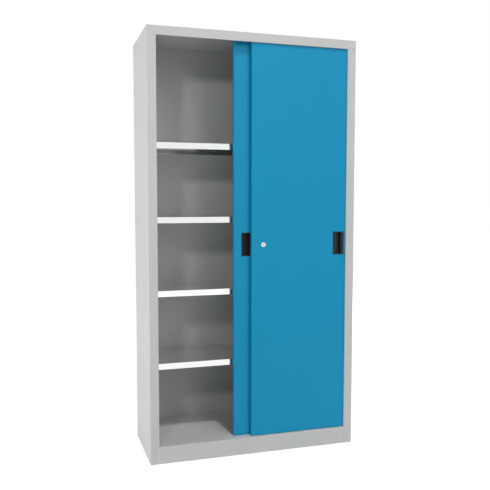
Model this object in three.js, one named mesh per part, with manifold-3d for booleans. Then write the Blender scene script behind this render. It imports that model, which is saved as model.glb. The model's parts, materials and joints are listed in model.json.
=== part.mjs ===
// Sliding door cabinet: a carcass of folded sheet steel, two pan doors that hang by rollers in a
// double track behind the top rail, four galvanised shelves on clips, shell handles and a cam lock.
// Millimetres, +Z up, the front faces -Y, and the origin is on the floor under the middle.
// A span is a [low, high] pair along one axis.

import * as THREE from 'three';
import { mergeVertices } from 'three/addons/utils/BufferGeometryUtils.js';
import Module from 'manifold-3d';

// Whole cabinet
const cabinetWidth = 1000;
const cabinetDepth = 400;
const cabinetHeight = 1950;
const sheet = 1;
const seamGap = 0.3;
const cutOverrun = 3;

// Carcass folds
const stileWidth = 40;
const railHeight = 40;
const plinthHeight = 80;
const frontReturn = 8.5;
const rearFlange = 20;
const footFlange = 15;
const backPanelLift = 30;

// Doors
const doorThickness = 20;
const doorGap = 8;
const doorOverlap = 34;
const doorEndGap = 11;
const doorFrameClearance = 1.5;
const doorFloorClearance = 1.5;
const doorTrackClearance = 1.7;
const doorLip = 15;
const rearDoorRestGap = 78;

// Hat section that stiffens each door
const stiffenerFlange = 18;
const stiffenerCrown = 26;
const stiffenerDepth = 13;
const stiffenerEndGap = 40;

// Track, rollers and the hangers that carry the doors
const trackSheet = 1.5;
const trackFrontMargin = 6;
const trackLipRise = 5;
const rollerHeadroom = 1.2;
const rollerFlangeRadius = 8.5;
const rollerGrooveRadius = 6.5;
const rollerWidth = 6;
const rollerGrooveClearance = 0.4;
const rollerWebClearance = 3;
const axleRadius = 2;
const axleHeadRadius = 3.5;
const axleHeadLength = 1;
const hangerSheet = 1.5;
const hangerRollerClearance = 1;
const hangerWidth = 50;
const hangerFoot = 11;
const hangerHead = 6;
const hangerInset = 70;
const hangerBoltRadius = 3.5;
const hangerBoltHead = 2.5;
const hangerBoltSpacing = 30;

// Guides that stand on the floor in the channels under the doors
const guideChannelHeight = 12;
const guideSideClearance = 0.7;
const guideTopClearance = 1.5;
const guideEndClearance = 1.5;
const guideNose = 4;

// Rubber stops between door edges and side panels
const stopFaceInset = 2;
const stopLength = 30;
const stopEndOffset = 120;

// Shelves, slotted uprights and clips
const shelfCount = 4;
const firstShelfRise = 363;
const shelfPitch = 338;
const shelfFrontSetback = 75;
const shelfBackClearance = 1.7;
const shelfLip = 28;
const shelfReturn = 10;
const shelfEndClearance = 1.5;
const uprightSheet = 1.2;
const uprightWidth = 30;
const uprightDepth = 12;
const uprightShelfInset = 8;
const slotsPerShelfPitch = 9;
const slotEndMargin = 30;
const slotClearance = 0.6;
const clipSheet = 1.5;
const clipWidth = 14;
const clipTabWidth = 10;
const clipLeg = 14;
const clipLedge = 14;
const clipHook = 4;

// Shell handles
const handleWidth = 57;
const handleHeight = 110;
const handleInset = 36;
const handleCentreHeight = 990;
const handleFlange = 1.2;
const handleBorder = 3;
const handleRim = 15;
const handleWall = 1.5;
const handlePocketDepth = 13;
const handlePocketSlope = 2;

// Cam lock in the front door and its keeper on the rear door
const lockInset = 57.5;
const lockHeight = 989;
const rosetteRadius = 11.5;
const rosetteProud = 2.7;
const rosetteChamfer = 1.2;
const barrelRadius = 9.3;
const barrelProud = 1.5;
const barrelWall = 1;
const nutRadius = 13;
const nutLength = 4;
const keywayWidth = 2.2;
const keywayHeight = 8;
const keywayDepth = 5;
const stubRadius = 3.2;
const camThickness = 1.5;
const camHubRadius = 8;
const camLength = 32;
const camWidth = 10;
const camHookWidth = 6;
const camHookReach = 19;
const camScrewRadius = 5;
const camScrewHead = 1.5;
const keeperSheet = 1.5;
const keeperLength = 16;
const keeperBase = 14;
const keeperPlay = 1.5;
const keeperBarrelClearance = 1.7;

// Facets of round pieces
const rollerFacets = 20;
const lockFacets = 32;
const smallFacets = 12;
const nutFacets = 6;

// Widths across the cabinet
const innerHalfWidth = cabinetWidth / 2 - sheet;
const doorWidth = innerHalfWidth - doorEndGap + doorOverlap / 2;
const doorTravel = (innerHalfWidth - doorEndGap) * 2 - doorWidth;
const leftmostDoorEdge = doorEndGap - innerHalfWidth;
const frontDoorLeft = leftmostDoorEdge + doorTravel;
const rearDoorLeft = leftmostDoorEdge + doorTravel - rearDoorRestGap;
const stileInnerX = cabinetWidth / 2 - stileWidth;

// Depths from front to back
const frontFace = -cabinetDepth / 2;
const backFace = cabinetDepth / 2;
const backPanelFront = backFace - sheet - seamGap - sheet;
const frontDoorFace = frontFace + frontReturn + doorFrameClearance;
const rearDoorFace = frontDoorFace + doorThickness + doorGap;
const shelfFront = frontFace + shelfFrontSetback;
const shelfBack = backPanelFront - shelfBackClearance;

// Heights above the floor that the cabinet stands on
const topUnderside = cabinetHeight - sheet;
const railBottom = cabinetHeight - railHeight;
const trackTop = topUnderside - seamGap;
const trackRunHeight = trackLipRise + seamGap + rollerGrooveRadius;
const trackHeight = trackRunHeight + rollerFlangeRadius + rollerHeadroom + trackSheet;
const trackBottom = trackTop - trackHeight;
const doorTop = trackBottom - doorTrackClearance;
const doorBottom = plinthHeight + doorFloorClearance;
const doorHeight = doorTop - doorBottom;

// Places inside a door, from its left edge, its face and its bottom edge
const rollerAxisHeight = trackBottom + trackRunHeight - doorBottom;
const rollerAxisDepth = doorThickness / 2;
const hangerBack = rollerAxisDepth - rollerWidth / 2 - hangerRollerClearance;
const hangerFront = hangerBack - hangerSheet;
const lockLevel = lockHeight - doorBottom;
const barrelBack = doorThickness + barrelProud;
const camFront = barrelBack + seamGap;
const camBack = camFront + camThickness;

// Slots of the uprights, spaced so that every shelf height has one
const slotPitch = shelfPitch / slotsPerShelfPitch;
const slotHeight = clipSheet + slotClearance * 2;
const slotWidth = clipTabWidth + slotClearance * 2;
const uprightBottom = plinthHeight + seamGap;
const uprightTop = topUnderside - seamGap;
const clipTopUnderShelf = shelfLip + seamGap;
const clipSlotUnderShelf = clipTopUnderShelf + clipSheet + clipLeg / 2;

const greyPaint = new THREE.MeshStandardMaterial({ color: 0xcfd0ce, roughness: 0.45, metalness: 0 });
const bluePaint = new THREE.MeshStandardMaterial({ color: 0x2b8fb9, roughness: 0.45, metalness: 0 });
const galvanised = new THREE.MeshStandardMaterial({ color: 0xd6d9da, roughness: 0.3, metalness: 1 });
const zincPlated = new THREE.MeshStandardMaterial({ color: 0xb6babd, roughness: 0.35, metalness: 1 });
const nickel = new THREE.MeshStandardMaterial({ color: 0xdedcd6, roughness: 0.2, metalness: 1 });
const blackPlastic = new THREE.MeshStandardMaterial({ color: 0x28292a, roughness: 0.5, metalness: 0 });
const whiteNylon = new THREE.MeshStandardMaterial({ color: 0xeeede6, roughness: 0.4, metalness: 0 });
const blackRubber = new THREE.MeshStandardMaterial({ color: 0x1d1d1e, roughness: 0.8, metalness: 0 });

const wasm = await Module();
wasm.setup();

// A closed geometry as a solid that can be joined and cut.
function solidOf(geometry) {
  const bare = geometry.clone();
  bare.deleteAttribute('normal');
  bare.deleteAttribute('uv');
  const merged = mergeVertices(bare);
  const vertProperties = merged.attributes.position.array;
  const triVerts = Uint32Array.from(merged.index.array);
  return new wasm.Manifold(new wasm.Mesh({ numProp: 3, vertProperties, triVerts }));
}

// A solid as a named mesh.
function meshOf(name, solid, material) {
  const { vertProperties, triVerts } = solid.getMesh();
  const geometry = new THREE.BufferGeometry();
  geometry.setAttribute('position', new THREE.BufferAttribute(vertProperties, 3));
  geometry.setIndex(new THREE.BufferAttribute(triVerts, 1));
  geometry.computeVertexNormals();
  const mesh = new THREE.Mesh(geometry, material.clone());
  mesh.name = name;
  return mesh;
}

function join(...solids) {
  return solids.reduce((whole, piece) => whole.add(piece));
}

function cut(solid, ...cutters) {
  return cutters.reduce((rest, cutter) => rest.subtract(cutter), solid);
}

// A box that fills three spans.
function block(xSpan, ySpan, zSpan) {
  const spans = [xSpan, ySpan, zSpan];
  const geometry = new THREE.BoxGeometry(...spans.map(([low, high]) => high - low));
  geometry.translate(...spans.map(([low, high]) => (low + high) / 2));
  return solidOf(geometry);
}

// A cylinder whose axis runs along Y through (x, z).
function pinAlongY(radius, ySpan, x, z, facets) {
  const [low, high] = ySpan;
  const geometry = new THREE.CylinderGeometry(radius, radius, high - low, facets);
  geometry.translate(x, (low + high) / 2, z);
  return solidOf(geometry);
}

// A closed outline of [radius, y] points turned about Y through (x, z).
function turnedAboutY(outline, x, z, facets) {
  const points = outline.map(([radius, y]) => new THREE.Vector2(radius, y));
  const geometry = new THREE.LatheGeometry([...points, points[0]], facets);
  geometry.translate(x, 0, z);
  return solidOf(geometry);
}

function shapeOf(outline) {
  return new THREE.Shape(outline.map(([first, second]) => new THREE.Vector2(first, second)));
}

// An outline of [x, y] points drawn up through a span of Z.
function drawnAlongZ(outline, zSpan) {
  const [low, high] = zSpan;
  const geometry = new THREE.ExtrudeGeometry(shapeOf(outline), { depth: high - low, bevelEnabled: false });
  geometry.translate(0, 0, low);
  return solidOf(geometry);
}

// A shape with y across and z up, drawn through a span of X.
function drawnAlongX(shape, xSpan) {
  const [low, high] = xSpan;
  const geometry = new THREE.ExtrudeGeometry(shape, { depth: high - low, bevelEnabled: false });
  const yAxis = new THREE.Vector3(0, 1, 0);
  const zAxis = new THREE.Vector3(0, 0, 1);
  const xAxis = new THREE.Vector3(1, 0, 0);
  geometry.applyMatrix4(new THREE.Matrix4().makeBasis(yAxis, zAxis, xAxis));
  geometry.translate(low, 0, 0);
  return solidOf(geometry);
}

// The span between two distances measured inward from a side panel's inner face.
function inwardSpan(side, near, far) {
  const ends = [near, far].map((distance) => side * (innerHalfWidth - distance));
  return [Math.min(...ends), Math.max(...ends)];
}

const sides = [['left', -1], ['right', 1]];

// Carcass

// Outer plate, front stile with its return, rear flange and the flange that stands on the floor.
function sidePanel(side) {
  const outerX = side * cabinetWidth / 2;
  const innerX = side * innerHalfWidth;
  const stileX = side * stileInnerX;
  const stileInsideX = side * (stileInnerX + sheet);
  const flangeX = side * (cabinetWidth / 2 - rearFlange);
  const returnY = frontFace + frontReturn;
  const profile = [
    [outerX, frontFace],
    [stileX, frontFace],
    [stileX, returnY],
    [stileInsideX, returnY],
    [stileInsideX, frontFace + sheet],
    [innerX, frontFace + sheet],
    [innerX, backFace - sheet],
    [flangeX, backFace - sheet],
    [flangeX, backFace],
    [outerX, backFace],
  ];
  const wall = drawnAlongZ(profile, [0, topUnderside - seamGap]);
  const footSpanY = [returnY, backFace - sheet];
  const foot = block(inwardSpan(side, -sheet, footFlange), footSpanY, [0, sheet]);
  const aboveStile = [railBottom - seamGap, cabinetHeight];
  const acrossStile = inwardSpan(side, -sheet - cutOverrun, stileWidth + cutOverrun);
  const behindRail = block(acrossStile, [frontFace - cutOverrun, frontFace + sheet + seamGap], aboveStile);
  const insideStile = inwardSpan(side, 0, stileWidth + cutOverrun);
  const overReturn = block(insideStile, [frontFace, returnY + seamGap], aboveStile);
  const aboveFlange = [cabinetHeight - rearFlange - seamGap, cabinetHeight];
  const rearCorner = [backFace - sheet - seamGap, backFace + cutOverrun];
  const underFlange = block(acrossStile, rearCorner, aboveFlange);
  return cut(join(wall, foot), behindRail, overReturn, underFlange);
}

// Top plate with the front rail and the rear flange folded down, and the return under the rail.
function topPanel() {
  const profile = [
    [frontFace, railBottom],
    [frontFace + sheet, railBottom],
    [frontFace + sheet, topUnderside],
    [backFace - sheet, topUnderside],
    [backFace - sheet, cabinetHeight - rearFlange],
    [backFace, cabinetHeight - rearFlange],
    [backFace, cabinetHeight],
    [frontFace, cabinetHeight],
  ];
  const folded = drawnAlongX(shapeOf(profile), [-cabinetWidth / 2, cabinetWidth / 2]);
  const returnSpanX = [seamGap - innerHalfWidth, innerHalfWidth - seamGap];
  const returnSpanY = [frontFace, frontFace + frontReturn];
  return join(folded, block(returnSpanX, returnSpanY, [railBottom, railBottom + sheet]));
}

// Floor plate notched round the stiles, with the plinth folded down in front and a rear flange.
function bottomPanel() {
  const plateHalf = innerHalfWidth - seamGap;
  const plinthHalf = stileInnerX - seamGap;
  const notchY = frontFace + frontReturn + seamGap;
  const rearY = backPanelFront - seamGap;
  const outline = [
    [-plinthHalf, frontFace],
    [plinthHalf, frontFace],
    [plinthHalf, notchY],
    [plateHalf, notchY],
    [plateHalf, rearY],
    [-plateHalf, rearY],
    [-plateHalf, notchY],
    [-plinthHalf, notchY],
  ];
  const plinthSpanX = [-plinthHalf, plinthHalf];
  const plate = drawnAlongZ(outline, [plinthHeight - sheet, plinthHeight]);
  const plinth = block(plinthSpanX, [frontFace, frontFace + sheet], [0, plinthHeight]);
  const plinthFoot = block(plinthSpanX, [frontFace, frontFace + footFlange], [0, sheet]);
  const rearSpanX = [-plateHalf, plateHalf];
  const rearFold = block(rearSpanX, [rearY - sheet, rearY], [plinthHeight - rearFlange, plinthHeight]);
  return join(plate, plinth, plinthFoot, rearFold);
}

function backPanel() {
  const spanX = [seamGap - innerHalfWidth, innerHalfWidth - seamGap];
  const spanY = [backPanelFront, backPanelFront + sheet];
  return block(spanX, spanY, [backPanelLift, topUnderside - seamGap]);
}

function buildCarcass() {
  const group = new THREE.Group();
  for (const [word, side] of sides) {
    group.add(meshOf(`${word}_side_panel`, sidePanel(side), greyPaint));
  }
  group.add(meshOf('top_panel', topPanel(), greyPaint));
  group.add(meshOf('bottom_panel', bottomPanel(), greyPaint));
  group.add(meshOf('back_panel', backPanel(), greyPaint));
  return group;
}

// Shelving

function shelfTop(index) {
  return plinthHeight + firstShelfRise + index * shelfPitch;
}

// Heights of the slots' middles, worked down from the lowest clip and then up to the top.
function slotLevels() {
  const clipLevel = shelfTop(0) - clipSlotUnderShelf;
  const below = Math.floor((clipLevel - uprightBottom - slotEndMargin) / slotPitch);
  const lowest = clipLevel - below * slotPitch;
  const count = Math.floor((uprightTop - slotEndMargin - lowest) / slotPitch) + 1;
  return Array.from({ length: count }, (_, index) => lowest + index * slotPitch);
}

// The middle of the front and rear uprights, seen from the side.
function uprightCentres() {
  const fromShelfEnd = uprightShelfInset + uprightWidth / 2;
  return [['front', shelfFront + fromShelfEnd], ['rear', shelfBack - fromShelfEnd]];
}

// Channel with its open side against the side panel and a column of slots in its face.
function upright(side, centreY) {
  const low = centreY - uprightWidth / 2;
  const high = centreY + uprightWidth / 2;
  const face = shapeOf([[low, uprightBottom], [high, uprightBottom], [high, uprightTop], [low, uprightTop]]);
  const slotLow = centreY - slotWidth / 2;
  const slotHigh = centreY + slotWidth / 2;
  for (const level of slotLevels()) {
    const bottom = level - slotHeight / 2;
    const top = level + slotHeight / 2;
    face.holes.push(shapeOf([[slotLow, bottom], [slotHigh, bottom], [slotHigh, top], [slotLow, top]]));
  }
  const plate = drawnAlongX(face, inwardSpan(side, uprightDepth - uprightSheet, uprightDepth));
  const legSpanX = inwardSpan(side, seamGap, uprightDepth);
  const spanZ = [uprightBottom, uprightTop];
  const frontLeg = block(legSpanX, [low, low + uprightSheet], spanZ);
  const rearLeg = block(legSpanX, [high - uprightSheet, high], spanZ);
  return join(plate, frontLeg, rearLeg);
}

// Tray with its rim turned down and then inward all round.
function shelf(top) {
  const half = innerHalfWidth - uprightDepth - shelfEndClearance;
  const bottom = top - shelfLip;
  const body = block([-half, half], [shelfFront, shelfBack], [bottom, top]);
  const hollowHalf = half - sheet;
  const hollowY = [shelfFront + sheet, shelfBack - sheet];
  const hollow = block([-hollowHalf, hollowHalf], hollowY, [bottom + sheet, top - sheet]);
  const mouthHalf = half - shelfReturn;
  const mouthY = [shelfFront + shelfReturn, shelfBack - shelfReturn];
  const mouth = block([-mouthHalf, mouthHalf], mouthY, [bottom - cutOverrun, top - sheet]);
  return cut(body, hollow, mouth);
}

// Ledge under the shelf, a leg on the upright's face and a hooked tab through a slot.
function clip(side, centreY, top) {
  const face = uprightDepth + seamGap;
  const ledgeTop = top - clipTopUnderShelf;
  const ledgeBottom = ledgeTop - clipSheet;
  const tabLevel = top - clipSlotUnderShelf;
  const tabTip = uprightDepth - uprightSheet - seamGap - clipSheet;
  const wide = [centreY - clipWidth / 2, centreY + clipWidth / 2];
  const narrow = [centreY - clipTabWidth / 2, centreY + clipTabWidth / 2];
  const tabZ = [tabLevel - clipSheet / 2, tabLevel + clipSheet / 2];
  const hookZ = [tabLevel - clipHook, tabLevel + clipSheet / 2];
  return join(
    block(inwardSpan(side, face, face + clipLedge), wide, [ledgeBottom, ledgeTop]),
    block(inwardSpan(side, face, face + clipSheet), wide, [ledgeBottom - clipLeg, ledgeTop]),
    block(inwardSpan(side, tabTip, face + clipSheet), narrow, tabZ),
    block(inwardSpan(side, tabTip, tabTip + clipSheet), narrow, hookZ),
  );
}

function buildShelving() {
  const group = new THREE.Group();
  for (const [sideWord, side] of sides) {
    for (const [endWord, centreY] of uprightCentres()) {
      const name = `upright_${sideWord}_${endWord}`;
      group.add(meshOf(name, upright(side, centreY), greyPaint));
    }
  }
  for (let index = 0; index < shelfCount; index += 1) {
    const number = index + 1;
    const top = shelfTop(index);
    group.add(meshOf(`shelf_${number}`, shelf(top), galvanised));
    for (const [sideWord, side] of sides) {
      for (const [endWord, centreY] of uprightCentres()) {
        const name = `shelf_${number}_clip_${sideWord}_${endWord}`;
        group.add(meshOf(name, clip(side, centreY, top), zincPlated));
      }
    }
  }
  return group;
}

// Door gear on the carcass

// Points of one hook of the track, from the flange down round the lip and back up.
function trackHook(doorFace) {
  const axis = doorFace + rollerAxisDepth;
  const lipFront = axis - trackSheet / 2;
  const lipBack = axis + trackSheet / 2;
  const webFront = axis + rollerWidth / 2 + rollerWebClearance;
  const webBack = webFront + trackSheet;
  const flangeBottom = trackTop - trackSheet;
  const ledgeTop = trackBottom + trackSheet;
  const lipTop = trackBottom + trackLipRise;
  return [
    [webFront, flangeBottom],
    [webFront, ledgeTop],
    [lipBack, ledgeTop],
    [lipBack, lipTop],
    [lipFront, lipTop],
    [lipFront, trackBottom],
    [webBack, trackBottom],
    [webBack, flangeBottom],
  ];
}

// Double track: two hooks whose upturned lips carry the rollers.
function doorTrack() {
  const start = frontDoorFace - trackFrontMargin;
  const rearHook = trackHook(rearDoorFace);
  const [rearEnd] = rearHook[rearHook.length - 1];
  const profile = [
    [start, trackTop],
    [start, trackTop - trackSheet],
    ...trackHook(frontDoorFace),
    ...rearHook,
    [rearEnd, trackTop],
  ];
  return drawnAlongX(shapeOf(profile), [seamGap - innerHalfWidth, innerHalfWidth - seamGap]);
}

// Block with pointed ends that fills the channel under a door where the two doors overlap.
function floorGuide(doorFace) {
  const half = doorOverlap / 2 - sheet - guideEndClearance;
  const shoulder = half - guideNose;
  const front = doorFace + sheet + guideSideClearance;
  const back = doorFace + doorThickness - sheet - guideSideClearance;
  const outline = [
    [-half, front + guideNose],
    [-shoulder, front],
    [shoulder, front],
    [half, front + guideNose],
    [half, back - guideNose],
    [shoulder, back],
    [-shoulder, back],
    [-half, back - guideNose],
  ];
  const top = doorBottom + guideChannelHeight - guideTopClearance;
  return drawnAlongZ(outline, [plinthHeight + seamGap, top]);
}

function doorStop(side, bottom) {
  const spanX = inwardSpan(side, seamGap, doorEndGap - seamGap);
  const spanY = [frontDoorFace + stopFaceInset, rearDoorFace + doorThickness - stopFaceInset];
  return block(spanX, spanY, [bottom, bottom + stopLength]);
}

function buildDoorGear() {
  const group = new THREE.Group();
  group.add(meshOf('door_track', doorTrack(), zincPlated));
  group.add(meshOf('floor_guide_front', floorGuide(frontDoorFace), whiteNylon));
  group.add(meshOf('floor_guide_rear', floorGuide(rearDoorFace), whiteNylon));
  const levels = [
    ['lower', doorBottom + stopEndOffset],
    ['upper', doorTop - stopEndOffset - stopLength],
  ];
  for (const [sideWord, side] of sides) {
    for (const [levelWord, bottom] of levels) {
      group.add(meshOf(`door_stop_${sideWord}_${levelWord}`, doorStop(side, bottom), blackRubber));
    }
  }
  return group;
}

// Doors, built from their left edge, face and bottom edge

const hangerPlaces = [['left', hangerInset], ['right', doorWidth - hangerInset]];

// Slot in the door's top flange that a hanger passes through.
function hangerSlot(x) {
  const half = hangerWidth / 2 + seamGap;
  const spanZ = [doorHeight - sheet - cutOverrun, doorHeight + cutOverrun];
  return block([x - half, x + half], [hangerFront - seamGap, hangerBack + seamGap], spanZ);
}

// Pan with a skin, side and top flanges, rear lips and a channel that is open downward.
function doorPan(cutters) {
  const insideX = [sheet, doorWidth - sheet];
  const insideY = [sheet, doorThickness - sheet];
  const body = block([0, doorWidth], [0, doorThickness], [0, doorHeight]);
  const hollow = block(insideX, insideY, [guideChannelHeight + sheet, doorHeight - sheet]);
  const mouthX = [doorLip, doorWidth - doorLip];
  const mouthZ = [guideChannelHeight + doorLip, doorHeight - doorLip];
  const mouth = block(mouthX, [sheet, doorThickness + cutOverrun], mouthZ);
  const channel = block(insideX, insideY, [-cutOverrun, guideChannelHeight]);
  const slots = hangerPlaces.map(([, x]) => hangerSlot(x));
  return cut(body, hollow, mouth, channel, ...slots, ...cutters);
}

// Hat section behind the skin, up the middle of the door.
function doorStiffener() {
  const middle = doorWidth / 2;
  const crownHalf = stiffenerCrown / 2;
  const flangeHalf = crownHalf + stiffenerFlange;
  const base = sheet + seamGap;
  const crown = base + stiffenerDepth;
  const outline = [
    [middle - flangeHalf, base],
    [middle - crownHalf + sheet, base],
    [middle - crownHalf + sheet, crown - sheet],
    [middle + crownHalf - sheet, crown - sheet],
    [middle + crownHalf - sheet, base],
    [middle + flangeHalf, base],
    [middle + flangeHalf, base + sheet],
    [middle + crownHalf, base + sheet],
    [middle + crownHalf, crown],
    [middle - crownHalf, crown],
    [middle - crownHalf, base + sheet],
    [middle - flangeHalf, base + sheet],
  ];
  return drawnAlongZ(outline, [guideChannelHeight + stiffenerEndGap, doorHeight - stiffenerEndGap]);
}

// Bent plate bolted under the top flange, with the axle that the roller turns on.
function hanger(x) {
  const half = hangerWidth / 2;
  const footTop = doorHeight - sheet - seamGap;
  const footBottom = footTop - hangerSheet;
  const axleEnd = rollerAxisDepth + rollerWidth / 2 + seamGap + axleHeadLength;
  const headStart = axleEnd - axleHeadLength;
  const plateTop = rollerAxisHeight + hangerHead;
  const spanX = [x - half, x + half];
  const plate = block(spanX, [hangerFront, hangerBack], [footBottom, plateTop]);
  const foot = block(spanX, [hangerFront, hangerFront + hangerFoot], [footBottom, footTop]);
  const axle = pinAlongY(axleRadius, [hangerFront, axleEnd], x, rollerAxisHeight, smallFacets);
  const head = pinAlongY(axleHeadRadius, [headStart, axleEnd], x, rollerAxisHeight, smallFacets);
  const boltY = hangerBack + (hangerFoot - hangerSheet) / 2;
  const bolts = [-hangerBoltSpacing / 2, hangerBoltSpacing / 2].map((offset) => {
    const geometry = new THREE.CylinderGeometry(hangerBoltRadius, hangerBoltRadius, hangerBoltHead, nutFacets);
    geometry.rotateX(Math.PI / 2);
    geometry.translate(x + offset, boltY, footBottom - hangerBoltHead / 2);
    return solidOf(geometry);
  });
  return join(plate, foot, axle, head, ...bolts);
}

// Wheel with a groove that sits over the track's lip.
function roller(x) {
  const front = rollerAxisDepth - rollerWidth / 2;
  const back = rollerAxisDepth + rollerWidth / 2;
  const grooveHalf = trackSheet / 2 + rollerGrooveClearance;
  const boreRadius = axleRadius + seamGap;
  const outline = [
    [boreRadius, front],
    [rollerFlangeRadius, front],
    [rollerFlangeRadius, rollerAxisDepth - grooveHalf],
    [rollerGrooveRadius, rollerAxisDepth - grooveHalf],
    [rollerGrooveRadius, rollerAxisDepth + grooveHalf],
    [rollerFlangeRadius, rollerAxisDepth + grooveHalf],
    [rollerFlangeRadius, back],
    [boreRadius, back],
  ];
  return turnedAboutY(outline, x, rollerAxisHeight, rollerFacets);
}

const handleMiddle = handleCentreHeight - doorBottom;

// Hole in the skin for a handle whose left edge is at x.
function handleHole(x) {
  const reach = handleBorder - seamGap;
  const halfHeight = handleHeight / 2 - reach;
  const spanZ = [handleMiddle - halfHeight, handleMiddle + halfHeight];
  return block([x + reach, x + handleWidth - reach], [-cutOverrun, sheet + cutOverrun], spanZ);
}

// Shell handle: a thin flange, a tub behind it, and a pocket that deepens to a steep wall.
function handle(x) {
  const halfHeight = handleHeight / 2;
  const tubHalf = halfHeight - handleBorder;
  const right = x + handleWidth;
  const flangeBack = -seamGap;
  const flangeFront = flangeBack - handleFlange;
  const fullZ = [handleMiddle - halfHeight, handleMiddle + halfHeight];
  const tubZ = [handleMiddle - tubHalf, handleMiddle + tubHalf];
  const flange = block([x, right], [flangeFront, flangeBack], fullZ);
  const tubX = [x + handleBorder, right - handleBorder];
  const tub = block(tubX, [flangeFront, handlePocketDepth + handleWall], tubZ);
  const pocketLeft = x + handleBorder + handleWall;
  const pocketRight = right - handleRim;
  const beyond = flangeFront - cutOverrun;
  const outline = [
    [pocketLeft, beyond],
    [pocketRight, beyond],
    [pocketRight, flangeFront],
    [pocketRight - handlePocketSlope, handlePocketDepth],
    [pocketLeft, flangeFront],
  ];
  const pocketHalf = tubHalf - handleWall;
  const pocket = drawnAlongZ(outline, [handleMiddle - pocketHalf, handleMiddle + pocketHalf]);
  return cut(join(flange, tub), pocket);
}

// The pieces that both doors share, in a group that stands at the door's left bottom corner.
function buildDoor(word, left, face, handleLeft, lockCutters) {
  const group = new THREE.Group();
  group.position.set(left, face, doorBottom);
  const pan = doorPan([handleHole(handleLeft), ...lockCutters]);
  group.add(meshOf(`${word}_door_pan`, pan, bluePaint));
  group.add(meshOf(`${word}_door_stiffener`, doorStiffener(), bluePaint));
  group.add(meshOf(`${word}_door_handle`, handle(handleLeft), blackPlastic));
  for (const [place, x] of hangerPlaces) {
    group.add(meshOf(`${word}_door_hanger_${place}`, hanger(x), zincPlated));
    group.add(meshOf(`${word}_door_roller_${place}`, roller(x), whiteNylon));
  }
  return group;
}

// Lock

const boreOfBarrel = barrelRadius - barrelWall;
const plugRadius = boreOfBarrel - seamGap;

function lockHole() {
  const spanY = [-cutOverrun, sheet + cutOverrun];
  return pinAlongY(barrelRadius + seamGap, spanY, lockInset, lockLevel, lockFacets);
}

// Barrel through the skin, with a chamfered rosette in front of it.
function lockHousing() {
  const rosetteBack = -seamGap;
  const rosetteFront = rosetteBack - rosetteProud;
  const outline = [
    [boreOfBarrel, rosetteFront],
    [rosetteRadius - rosetteChamfer, rosetteFront],
    [rosetteRadius, rosetteFront + rosetteChamfer],
    [rosetteRadius, rosetteBack],
    [barrelRadius, rosetteBack],
    [barrelRadius, barrelBack],
    [boreOfBarrel, barrelBack],
  ];
  return turnedAboutY(outline, lockInset, lockLevel, lockFacets);
}

function lockNut() {
  const spanY = [sheet + seamGap, sheet + seamGap + nutLength];
  const nut = pinAlongY(nutRadius, spanY, lockInset, lockLevel, nutFacets);
  const boreY = [0, sheet + nutLength + cutOverrun];
  return cut(nut, pinAlongY(barrelRadius + seamGap, boreY, lockInset, lockLevel, lockFacets));
}

// Turning core with the keyway in front and the stub that carries the cam behind.
function lockPlug() {
  const front = -seamGap - rosetteProud;
  const core = pinAlongY(plugRadius, [front, barrelBack], lockInset, lockLevel, lockFacets);
  const stub = pinAlongY(stubRadius, [front, camBack], lockInset, lockLevel, smallFacets);
  const keyX = [lockInset - keywayWidth / 2, lockInset + keywayWidth / 2];
  const keyZ = [lockLevel - keywayHeight / 2, lockLevel + keywayHeight / 2];
  return cut(join(core, stub), block(keyX, [front - cutOverrun, front + keywayDepth], keyZ));
}

// Arm that hangs down when unlocked, with a hook at its tip that points to the left.
function lockCam() {
  const spanY = [camFront, camBack];
  const tip = lockLevel - camLength;
  const hub = pinAlongY(camHubRadius, spanY, lockInset, lockLevel, lockFacets);
  const armX = [lockInset - camWidth / 2, lockInset + camWidth / 2];
  const arm = block(armX, spanY, [tip, lockLevel]);
  const hook = block([lockInset - camHookReach, lockInset], spanY, [tip, tip + camHookWidth]);
  const holeY = [camFront - cutOverrun, camBack + cutOverrun];
  const hole = pinAlongY(stubRadius + seamGap, holeY, lockInset, lockLevel, smallFacets);
  return cut(join(hub, arm, hook), hole);
}

function camScrew() {
  const spanY = [camBack + seamGap, camBack + seamGap + camScrewHead];
  return pinAlongY(camScrewRadius, spanY, lockInset, lockLevel, lockFacets);
}

// Angle on the rear door's face: with both doors closed its tab stops the hook of the turned cam.
function lockKeeper() {
  const lockInRearDoor = doorTravel + lockInset;
  const tabRight = lockInRearDoor - camLength - keeperPlay;
  const tabX = [tabRight - keeperSheet, tabRight];
  const baseX = [tabRight - keeperBase, tabRight];
  const bottom = lockLevel + barrelRadius + keeperBarrelClearance;
  const spanZ = [bottom, bottom + keeperLength];
  const baseFront = -seamGap - keeperSheet;
  const tabFront = barrelProud - doorGap;
  return join(
    block(baseX, [baseFront, -seamGap], spanZ),
    block(tabX, [tabFront, -seamGap], spanZ),
  );
}

function buildFrontDoor() {
  const handleLeft = doorWidth - handleInset - handleWidth;
  const group = buildDoor('front', frontDoorLeft, frontDoorFace, handleLeft, [lockHole()]);
  group.add(meshOf('lock_housing', lockHousing(), nickel));
  group.add(meshOf('lock_nut', lockNut(), nickel));
  group.add(meshOf('lock_plug', lockPlug(), nickel));
  group.add(meshOf('lock_cam', lockCam(), zincPlated));
  group.add(meshOf('lock_cam_screw', camScrew(), zincPlated));
  return group;
}

function buildRearDoor() {
  const group = buildDoor('rear', rearDoorLeft, rearDoorFace, handleInset, []);
  group.add(meshOf('rear_door_keeper', lockKeeper(), zincPlated));
  return group;
}

const cabinet = new THREE.Group();
cabinet.add(buildCarcass());
cabinet.add(buildShelving());
cabinet.add(buildDoorGear());
cabinet.add(buildFrontDoor());
cabinet.add(buildRearDoor());

export default cabinet;
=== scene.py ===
"""Looks of the sliding door cabinet: camera, light, finishes and the rounded folds of its sheet steel."""

import json
import math

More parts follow.
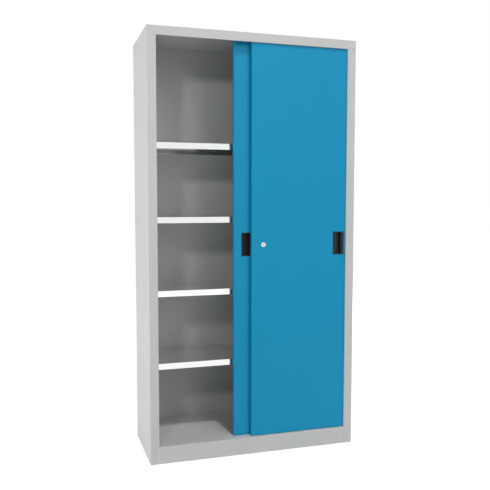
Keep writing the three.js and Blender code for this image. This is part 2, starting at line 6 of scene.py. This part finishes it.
import bmesh
import bpy
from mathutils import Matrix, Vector


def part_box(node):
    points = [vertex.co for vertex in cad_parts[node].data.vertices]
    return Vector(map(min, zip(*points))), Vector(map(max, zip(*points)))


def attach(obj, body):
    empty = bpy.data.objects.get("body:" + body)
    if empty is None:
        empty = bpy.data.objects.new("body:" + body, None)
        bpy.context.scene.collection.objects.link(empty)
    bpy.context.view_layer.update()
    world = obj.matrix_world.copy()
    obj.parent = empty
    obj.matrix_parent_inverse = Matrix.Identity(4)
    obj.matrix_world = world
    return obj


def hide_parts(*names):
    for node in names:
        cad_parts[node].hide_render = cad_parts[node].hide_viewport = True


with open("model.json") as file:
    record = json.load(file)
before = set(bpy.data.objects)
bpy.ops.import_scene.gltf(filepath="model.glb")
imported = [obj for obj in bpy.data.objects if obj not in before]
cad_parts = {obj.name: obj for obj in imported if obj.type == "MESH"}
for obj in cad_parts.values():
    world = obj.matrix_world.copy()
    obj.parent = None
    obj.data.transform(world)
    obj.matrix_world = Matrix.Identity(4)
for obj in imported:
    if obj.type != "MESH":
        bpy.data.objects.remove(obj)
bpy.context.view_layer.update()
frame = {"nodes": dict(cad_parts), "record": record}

record = frame["record"]
nodes = frame["nodes"]
slot_of = {row["node"]: row["material_slot"] for row in record["subparts"]}
body_of = {name: body for body, names in record["behaviour"]["bodies"].items() for name in names}

MILLIMETRE = 0.001

# Camera, fitted to the photograph's carcass edges: metres, radians and millimetres of lens and sensor
CAMERA_PLACE = (-0.96711, -2.98869, 1.17566)
CAMERA_YAW = 0.2903
CAMERA_PITCH = -0.0720
CAMERA_ROLL = 0.0012
CAMERA_LENS = 46.87
CAMERA_SHIFT = (0.0343, 0.0114)
SENSOR_WIDTH = 36

# Lamps: place, the point each faces, size, and the share of white that it gives there
EDGE_SPOT = ((-2.083, -3.333, 2.76), (-0.3, -0.15, 1.2), (0.4, 0.4))
LAMPS = {
    "back_softbox": ((2.6, 3.8, 2.6), (0.2, 0.2, 1.0), (2.4, 2.4), 0.7),
    "edge_fill": (*EDGE_SPOT, 0.1),
    "edge_lamp": (*EDGE_SPOT, 0.065),
    "front_softbox": ((2.04, -4.86, 4.1), (-0.1, -0.15, 1.1), (3.6, 5.6), 0.345),
    "key_lamp": ((0.51, -6.1, 10.3), (-0.2, -0.15, 1.0), (1.06, 1.06), 0.32),
    "side_softbox": ((-3.8, -0.2, 1.35), (-0.5, 0.0, 1.0), (1.8, 2.6), 0.66),
}
# These light the cabinet and leave no mirror image in it
UNMIRRORED_LAMPS = ("edge_fill", "front_softbox")
AMBIENT = 0.02

# Stage: the floor's colour for bounced light, and its colour and own light where it is seen, which
# rises to white between the two distances
FLOOR_HALF = 12
FLOOR_BOUNCE = 0.85
FLOOR_SHADE = 0.25
FLOOR_GLOW = 0.88
FLOOR_FADE = (1.6, 4.0)

# Sockets of a mix node for colours, and the middle range of a noise's values
MIX_FACTOR = 0
MIX_FIRST = 6
MIX_SECOND = 7
MIX_COLOUR = 2
NOISE_RANGE = (0.3, 0.7)

# Colours that were fitted to the photograph. The other slots keep the record's
FITTED_COLOURS = {
    "grey_paint": (0.618, 0.62, 0.612),
    "blue_paint": (0.006, 0.305, 0.535),
    "galvanised_steel": (0.87, 0.88, 0.87),
    "black_plastic": (0.013, 0.013, 0.014),
}

# Powder coat. Here and below, scales count per metre, and tones are shares of the colour
COAT_ROUGHNESS = (0.41, 0.49)
COAT_SPECULAR = 0.24
COAT_TONES = (0.985, 1.015)
COAT_CLOUD_SCALE = 2.5
COAT_PEEL_SCALE = 420
COAT_PEEL_DEPTH = 0.03 * MILLIMETRE
COAT_GRAIN_SCALE = 2600
COAT_GRAIN_DEPTH = 0.006 * MILLIMETRE

# Galvanised sheet, with the rolling grain's scale along each axis
SPANGLE_ROUGHNESS = (0.04, 0.1)
SPANGLE_TONES = (0.965, 1.01)
SPANGLE_SCALE = 150
SPANGLE_DEPTH = 0.0008 * MILLIMETRE
FRAY_SCALE = 70
FRAY_SHARE = 0.02
ROLLING_SCALES = (6, 1500, 1500)
ROLLING_DEPTH = 0.0006 * MILLIMETRE

# Zinc plating, with tones for red, green and blue
ZINC_ROUGHNESS = (0.28, 0.4)
ZINC_COOL_TONES = (0.95, 0.98, 1.03)
ZINC_WARM_TONES = (1.03, 1.01, 0.93)
ZINC_CLOUD_SCALE = 60
ZINC_GRAIN_SCALE = 900
ZINC_GRAIN_DEPTH = 0.004 * MILLIMETRE

# Nickel of the lock, the near black that is painted shade in the keyway and the gap round the plug and also
# stands for bare dark metal there, and how deep behind the plug's face it sets in
NICKEL_ROUGHNESS = (0.13, 0.24)
NICKEL_TONES = (0.96, 1.03)
NICKEL_SMUDGE_SCALE = 220
TOOL_RING_SCALE = 5200
TOOL_RING_DEPTH = 0.002 * MILLIMETRE
BARE_METAL_AND_SHADE = (0.03, 0.03, 0.028, 1)
KEYWAY_SHADE_DEPTH = 0.4 * MILLIMETRE
LOCK_SHADE_DEPTH = 100 * MILLIMETRE

# Moulded plastic and rubber: roughness, and the scale and depth of the mould's grain
MOULDS = {
    "black_plastic": ((0.42, 0.56), 1900, 0.02 * MILLIMETRE),
    "white_nylon": ((0.34, 0.48), 700, 0.02 * MILLIMETRE),
    "black_rubber": ((0.66, 0.8), 1300, 0.04 * MILLIMETRE),
}
MOULD_SPECULAR = 0.35
MOULD_TONES = (0.94, 1.06)
MOULD_CLOUD_SCALE = 35

# Edges of the sheet steel and of the small parts
WELD_REACH = 0.001 * MILLIMETRE
FOLD_RADIUS = 0.9 * MILLIMETRE
RIM_RADIUS = 0.16 * MILLIMETRE
CREASE_RADIUS = 0.3 * MILLIMETRE
EASED_RADIUS = 0.25 * MILLIMETRE
FOLD_PROBE = 1.6 * MILLIMETRE
FOLD_SEGMENTS = 3
EASED_SEGMENTS = 2
FLAT_ANGLE = math.radians(0.5)
SHARP_ANGLE = math.radians(35)

# Folded sheets beside the panels and the door pans
SHELVES = ("shelf_1", "shelf_2", "shelf_3", "shelf_4")

# Rivets in the back. Each step of a head's profile is a share of its radius and a share of its height
RIVET_RADIUS = 4 * MILLIMETRE
RIVET_HEIGHT = 1.3 * MILLIMETRE
RIVET_INSET = 10 * MILLIMETRE
RIVET_SIDES = 16
RIVETS_UP = 10
RIVETS_ACROSS = 6
RIVET_PROFILE_SHARES = ((1, -0.15), (1, 0.2), (0.85, 0.7), (0.55, 1), (0.36, 1), (0.3, 0.6), (0.12, 0.55))


def new_object(name, data):
    made = bpy.data.objects.new(name, data)
    bpy.context.scene.collection.objects.link(made)
    return made


# Camera and lamps


def add_camera():
    data = bpy.data.cameras.new("camera")
    data.sensor_width = SENSOR_WIDTH
    data.lens = CAMERA_LENS
    data.shift_x, data.shift_y = CAMERA_SHIFT
    camera = new_object("camera", data)
    camera.location = CAMERA_PLACE
    camera.rotation_euler = (math.pi / 2 + CAMERA_PITCH, CAMERA_ROLL, -CAMERA_YAW)
    bpy.context.scene.camera = camera


def add_lamp(name, place, aim, size, share):
    """A soft lamp with the power that lights a white surface at its aim to a share of white."""
    data = bpy.data.lights.new(name, "AREA")
    data.shape = "RECTANGLE"
    data.size, data.size_y = size
    lamp = new_object(name, data)
    lamp.location = place
    beam = Vector(aim) - lamp.location
    lamp.rotation_euler = beam.to_track_quat("-Z", "Y").to_euler()
    data.energy = share * (math.pi * beam.length) ** 2
    lamp.visible_camera = False
    lamp.visible_glossy = name not in UNMIRRORED_LAMPS


# Shader nodes


def add_node(tree, kind, settings=None, inputs=None):
    """A new shader node with its settings and the values of its inputs, or the sockets that feed them."""
    node = tree.nodes.new(kind)
    for name, value in (settings or {}).items():
        setattr(node, name, value)
    for name, value in (inputs or {}).items():
        if isinstance(value, bpy.types.NodeSocket):
            tree.links.new(value, node.inputs[name])
        else:
            node.inputs[name].default_value = value
    return node


def seen_directly(tree):
    """1 for camera, mirror and transmitted rays, and 0 for diffuse light."""
    path = add_node(tree, "ShaderNodeLightPath")
    rays = ("Is Camera Ray", "Is Glossy Ray", "Is Transmission Ray")
    total = 0.0
    for ray in rays:
        inputs = {0: path.outputs[ray], 1: total}
        total = add_node(tree, "ShaderNodeMath", {"operation": "MAXIMUM"}, inputs).outputs[0]
    return total


def blend_colours(tree, factor, first, second, method="MIX"):
    settings = {"data_type": "RGBA", "blend_type": method}
    inputs = {MIX_FACTOR: factor, MIX_FIRST: first, MIX_SECOND: second}
    return add_node(tree, "ShaderNodeMix", settings, inputs).outputs[MIX_COLOUR]


def grey(level):
    return (level, level, level, 1)


def tinted(colour, tones):
    return tuple(channel * tone for channel, tone in zip(colour, tones)) + (1,)


def two_toned(tree, factor, colour, tones):
    """A colour that goes from its first tone to its second."""
    first, second = (tinted(colour, (tone, tone, tone)) for tone in tones)
    return blend_colours(tree, factor, first, second)


def object_place(tree):
    return add_node(tree, "ShaderNodeTexCoord").outputs["Object"]


def distance(tree, place):
    """Length of a vector from the origin."""
    inputs = {0: place}
    return add_node(tree, "ShaderNodeVectorMath", {"operation": "LENGTH"}, inputs).outputs["Value"]


def stretched(tree, place, scale):
    """Coordinates multiplied along each axis, for grain that runs one way."""
    inputs = {"Vector": place, "Scale": scale}
    return add_node(tree, "ShaderNodeMapping", None, inputs).outputs[0]


def noise(tree, place, scale, detail=2, output="Fac"):
    inputs = {"Vector": place, "Scale": scale, "Detail": detail}
    return add_node(tree, "ShaderNodeTexNoise", None, inputs).outputs[output]


def ranged(tree, value, low, high, from_low=NOISE_RANGE[0], from_high=NOISE_RANGE[1]):
    inputs = {"Value": value, "From Min": from_low, "From Max": from_high, "To Min": low, "To Max": high}
    return add_node(tree, "ShaderNodeMapRange", None, inputs).outputs[0]


def bumped(tree, shader, height, depth, before=None):
    """Relief of a depth in metres, on top of an earlier bump where one is given."""
    inputs = {"Height": height, "Distance": depth, "Strength": 1.0}
    if before is not None:
        inputs["Normal"] = before
    normal = add_node(tree, "ShaderNodeBump", None, inputs).outputs[0]
    tree.links.new(normal, shader.inputs["Normal"])
    return normal


# World and floor


def light_world():
    """White where it is seen, and a faint light on the cabinet."""
    world = bpy.data.worlds.new("studio")
    world.use_nodes = True
    tree = world.node_tree
    colour = blend_colours(tree, seen_directly(tree), grey(AMBIENT), grey(1))
    tree.links.new(colour, tree.nodes["Background"].inputs["Color"])
    bpy.context.scene.world = world


def floor_material():
    """White with the cabinet's shadow where it is seen, and plain and pale for the light that it bounces."""
    material = bpy.data.materials.new("floor")
    material.use_nodes = True
    tree = material.node_tree
    tree.nodes.remove(tree.nodes["Principled BSDF"])
    shade = add_node(tree, "ShaderNodeBsdfDiffuse", None, {"Color": grey(FLOOR_SHADE)}).outputs[0]
    level = ranged(tree, distance(tree, object_place(tree)), FLOOR_GLOW, 1, *FLOOR_FADE)
    glow = add_node(tree, "ShaderNodeEmission", None, {"Color": grey(1), "Strength": level}).outputs[0]
    seen = add_node(tree, "ShaderNodeAddShader", None, {0: shade, 1: glow}).outputs[0]
    bounce = add_node(tree, "ShaderNodeBsdfDiffuse", None, {"Color": grey(FLOOR_BOUNCE)}).outputs[0]
    inputs = {0: seen_directly(tree), 1: bounce, 2: seen}
    mixed = add_node(tree, "ShaderNodeMixShader", None, inputs).outputs[0]
    tree.links.new(mixed, tree.nodes["Material Output"].inputs["Surface"])
    return material


def add_floor():
    mesh = bpy.data.meshes.new("floor")
    corners = [(-1, -1), (1, -1), (1, 1), (-1, 1)]
    places = [(x * FLOOR_HALF, y * FLOOR_HALF, 0) for x, y in corners]
    mesh.from_pydata(places, [], [(0, 1, 2, 3)])
    mesh.materials.append(floor_material())
    new_object("floor", mesh)


# Finishes


def start_finish(name):
    material = bpy.data.materials.new(name)
    material.use_nodes = True
    tree = material.node_tree
    return material, tree, tree.nodes["Principled BSDF"], object_place(tree)


def powder_coat(name, colour):
    """Baked powder paint: faint clouds of tone, an orange peel relief and a fine grain."""
    material, tree, shader, place = start_finish(name)
    clouds = ranged(tree, noise(tree, place, COAT_CLOUD_SCALE, detail=3), 0, 1)
    grain = noise(tree, place, COAT_GRAIN_SCALE, detail=1)
    peel = noise(tree, place, COAT_PEEL_SCALE, detail=1)
    tree.links.new(two_toned(tree, clouds, colour, COAT_TONES), shader.inputs["Base Color"])
    tree.links.new(ranged(tree, grain, *COAT_ROUGHNESS), shader.inputs["Roughness"])
    relief = bumped(tree, shader, peel, COAT_PEEL_DEPTH)
    bumped(tree, shader, grain, COAT_GRAIN_DEPTH, relief)
    shader.inputs["Specular IOR Level"].default_value = COAT_SPECULAR
    return material


def galvanised(name, colour):
    """Bright galvanised sheet: soft spangle with frayed borders, and a faint grain from rolling."""
    material, tree, shader, place = start_finish(name)
    frayed = noise(tree, place, FRAY_SCALE, detail=4, output="Color")
    bent = blend_colours(tree, FRAY_SHARE, place, frayed, "LINEAR_LIGHT")
    inputs = {"Vector": bent, "Scale": SPANGLE_SCALE}
    crystal = add_node(tree, "ShaderNodeTexVoronoi", None, inputs).outputs["Color"]
    spangle = add_node(tree, "ShaderNodeSeparateColor", None, {"Color": crystal}).outputs[0]
    grain = noise(tree, stretched(tree, place, ROLLING_SCALES), scale=1)
    tree.links.new(two_toned(tree, spangle, colour, SPANGLE_TONES), shader.inputs["Base Color"])
    tree.links.new(ranged(tree, spangle, *SPANGLE_ROUGHNESS, 0, 1), shader.inputs["Roughness"])
    relief = bumped(tree, shader, grain, ROLLING_DEPTH)
    bumped(tree, shader, spangle, SPANGLE_DEPTH, relief)
    shader.inputs["Metallic"].default_value = 1
    return material


def zinc_plated(name, colour):
    """Bright zinc plating, a little bluer and yellower from place to place."""
    material, tree, shader, place = start_finish(name)
    clouds = ranged(tree, noise(tree, place, ZINC_CLOUD_SCALE), 0, 1)
    grain = noise(tree, place, ZINC_GRAIN_SCALE)
    cool = tinted(colour, ZINC_COOL_TONES)
    warm = tinted(colour, ZINC_WARM_TONES)
    tree.links.new(blend_colours(tree, clouds, cool, warm), shader.inputs["Base Color"])
    tree.links.new(ranged(tree, grain, *ZINC_ROUGHNESS), shader.inputs["Roughness"])
    bumped(tree, shader, grain, ZINC_GRAIN_DEPTH)
    shader.inputs["Metallic"].default_value = 1
    return material


def tool_rings(tree, place):
    """Noise in rings round the lock's axis, as a turning tool leaves them."""
    low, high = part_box("lock_housing")
    middle = (low + high) / 2
    inputs = {0: place, 1: (middle.x, 0, middle.z)}
    centred = add_node(tree, "ShaderNodeVectorMath", {"operation": "SUBTRACT"}, inputs).outputs[0]
    without_depth = (1, 0, 1)
    radius = distance(tree, stretched(tree, centred, without_depth))
    line = add_node(tree, "ShaderNodeCombineXYZ", None, {"X": radius}).outputs[0]
    return noise(tree, line, TOOL_RING_SCALE, detail=1)


def nickel_plated(name, colour, shade_depth):
    """Nickel over a turned face, and a near black deeper in than the plug's face: painted shade in the
    keyway and the gap round the plug, which also stands for bare dark metal.
    """
    material, tree, shader, place = start_finish(name)
    turned = tool_rings(tree, place)
    smudge = noise(tree, place, NICKEL_SMUDGE_SCALE)
    plated = two_toned(tree, turned, colour, NICKEL_TONES)
    depth = add_node(tree, "ShaderNodeSeparateXYZ", None, {"Vector": place}).outputs["Y"]
    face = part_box("lock_plug")[0].y
    # Painted shade: deeper than the plug's face the colour turns near black, which darkens the keyway and
    # the gap round the plug
    bare_and_shade = ranged(tree, depth, 0, 1, face + shade_depth / 2, face + shade_depth)
    tree.links.new(blend_colours(tree, bare_and_shade, plated, BARE_METAL_AND_SHADE), shader.inputs["Base Color"])
    tree.links.new(ranged(tree, smudge, *NICKEL_ROUGHNESS), shader.inputs["Roughness"])
    bumped(tree, shader, turned, TOOL_RING_DEPTH)
    shader.inputs["Metallic"].default_value = 1
    return material


def moulded(name, colour, roughness, grain_scale, grain_depth):
    """Moulded plastic or rubber with the eroded grain of its mould."""
    material, tree, shader, place = start_finish(name)
    clouds = ranged(tree, noise(tree, place, MOULD_CLOUD_SCALE), 0, 1)
    grain = noise(tree, place, grain_scale)
    tree.links.new(two_toned(tree, clouds, colour, MOULD_TONES), shader.inputs["Base Color"])
    tree.links.new(ranged(tree, grain, *roughness), shader.inputs["Roughness"])
    bumped(tree, shader, grain, grain_depth)
    shader.inputs["Specular IOR Level"].default_value = MOULD_SPECULAR
    return material


def make_finishes():
    """A material for each of the record's slots, and one more for the lock's plug, whose keyway has painted
    shade.
    """
    colour_of = {row["slot"]: tuple(row["base_color"]) for row in record["materials"]}
    colour_of.update(FITTED_COLOURS)
    finishes = {
        "grey_paint": powder_coat("grey_paint", colour_of["grey_paint"]),
        "blue_paint": powder_coat("blue_paint", colour_of["blue_paint"]),
        "galvanised_steel": galvanised("galvanised_steel", colour_of["galvanised_steel"]),
        "zinc_plated_steel": zinc_plated("zinc_plated_steel", colour_of["zinc_plated_steel"]),
        "nickel": nickel_plated("nickel", colour_of["nickel"], LOCK_SHADE_DEPTH),
        "lock_plug": nickel_plated("lock_plug", colour_of["nickel"], KEYWAY_SHADE_DEPTH),
    }
    for name, mould in MOULDS.items():
        finishes[name] = moulded(name, colour_of[name], *mould)
    return finishes


# Folded sheets and small parts


def is_fold(edge, middle):
    """Whether both faces go on past the sheet's thickness from the middle of their edge."""
    for loop in edge.link_loops:
        along = (loop.link_loop_next.vert.co - loop.vert.co).normalized()
        inward = loop.face.normal.cross(along)
        if not bmesh.geometry.intersect_face_point(loop.face, middle + inward * FOLD_PROBE):
            return False
    return True


def edge_radius(edge):
    """How far an edge of a folded sheet is rounded: an outside fold, an inside fold or a cut rim."""
    if len(edge.link_faces) != 2 or edge.calc_face_angle() < SHARP_ANGLE:
        return 0
    middle = (edge.verts[0].co + edge.verts[1].co) / 2
    if not edge.is_convex:
        return CREASE_RADIUS if is_fold(edge, middle) else 0
    return FOLD_RADIUS if is_fold(edge, middle) else RIM_RADIUS


def merged_faces(node):
    """The node's mesh with its corners joined and its flat faces whole."""
    shape = bmesh.new()
    shape.from_mesh(nodes[node].data)
    bmesh.ops.remove_doubles(shape, verts=shape.verts, dist=WELD_REACH)
    bmesh.ops.dissolve_limit(shape, angle_limit=FLAT_ANGLE, verts=shape.verts, edges=shape.edges)
    return shape


def smooth_mesh(shape, name):
    """A mesh from a bmesh, which it uses up, with smooth shading."""
    for face in shape.faces:
        face.smooth = True
    mesh = bpy.data.meshes.new(name)
    shape.to_mesh(mesh)
    shape.free()
    return mesh


def add_rounding(piece, radius, segments, limits):
    """Rounded edges where the limits say, and shading that keeps the flat faces flat."""
    rounding = piece.modifiers.new("rounding", "BEVEL")
    rounding.width = radius
    rounding.segments = segments
    for name, value in limits.items():
        setattr(rounding, name, value)
    shading = piece.modifiers.new("shading", "WEIGHTED_NORMAL")
    shading.keep_sharp = False


def fold_sheet(node):
    """A piece that stands for a folded sheet, with rounded folds and eased rims."""
    shape = merged_faces(node)
    weight = shape.edges.layers.float.new("bevel_weight_edge")
    for edge in shape.edges:
        edge[weight] = edge_radius(edge) / FOLD_RADIUS
    name = f"{node}_sheet"
    piece = new_object(name, smooth_mesh(shape, name))
    limits = {"limit_method": "WEIGHT", "use_clamp_overlap": False}
    add_rounding(piece, FOLD_RADIUS, FOLD_SEGMENTS, limits)
    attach(piece, body_of[node])
    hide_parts(node)
    return piece


def ease_edges(node):
    """Small easing on the edges of a node whose shape stays."""
    piece = nodes[node]
    weld = piece.modifiers.new("weld", "WELD")
    weld.merge_threshold = WELD_REACH
    limits = {"limit_method": "ANGLE", "angle_limit": SHARP_ANGLE}
    add_rounding(piece, EASED_RADIUS, EASED_SEGMENTS, limits)
    return piece


def dress(finishes):
    """Gives every node its shape and finish. The lock's plug has a finish of its own name."""
    for node in sorted(nodes):
        if node.endswith(("_panel", "_pan")) or node in SHELVES:
            piece = fold_sheet(node)
        else:
            piece = ease_edges(node)
        piece.data.materials.clear()
        piece.data.materials.append(finishes.get(node, finishes[slot_of[node]]))


# Rivets


def add_head(shape, centre):
    """A rivet's domed head round a small well, as a ring of points for each step of its profile."""
    rings = []
    for radius_share, height_share in RIVET_PROFILE_SHARES:
        ring = []
        for step in range(RIVET_SIDES):
            turn = 2 * math.pi * step / RIVET_SIDES
            radius = radius_share * RIVET_RADIUS
            height = height_share * RIVET_HEIGHT
            offset = Vector((radius * math.cos(turn), height, radius * math.sin(turn)))
            ring.append(shape.verts.new(centre + offset))
        rings.append(ring)
    shape.faces.new(rings[0])
    shape.faces.new(reversed(rings[-1]))
    for lower, upper in zip(rings, rings[1:]):
        for step in range(RIVET_SIDES):
            following = (step + 1) % RIVET_SIDES
            shape.faces.new((lower[following], lower[step], upper[step], upper[following]))


def rivet_places():
    """Up both rear flanges of the side panels, and along the back panel's head and foot."""
    low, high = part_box("back_panel")
    left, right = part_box("left_side_panel"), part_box("right_side_panel")
    places = []
    for step in range(RIVETS_UP):
        level = low.z + (step + 0.5) * (high.z - low.z) / RIVETS_UP
        places.append(Vector((left[0].x + RIVET_INSET, left[1].y, level)))
        places.append(Vector((right[1].x - RIVET_INSET, right[1].y, level)))
    for step in range(RIVETS_ACROSS):
        across = low.x + (step + 0.5) * (high.x - low.x) / RIVETS_ACROSS
        places.append(Vector((across, high.y, low.z + RIVET_INSET)))
        places.append(Vector((across, high.y, high.z - RIVET_INSET)))
    return places


def rivet_back(finish):
    shape = bmesh.new()
    for place in rivet_places():
        add_head(shape, place)
    bmesh.ops.recalc_face_normals(shape, faces=shape.faces)
    mesh = smooth_mesh(shape, "rear_rivets")
    mesh.materials.append(finish)
    piece = new_object("rear_rivets", mesh)
    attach(piece, body_of["back_panel"])


bpy.context.scene.view_settings.view_transform = "Standard"
add_camera()
for lamp_name, lamp_values in LAMPS.items():
    add_lamp(lamp_name, *lamp_values)
light_world()
add_floor()
all_finishes = make_finishes()
dress(all_finishes)
rivet_back(all_finishes["zinc_plated_steel"])
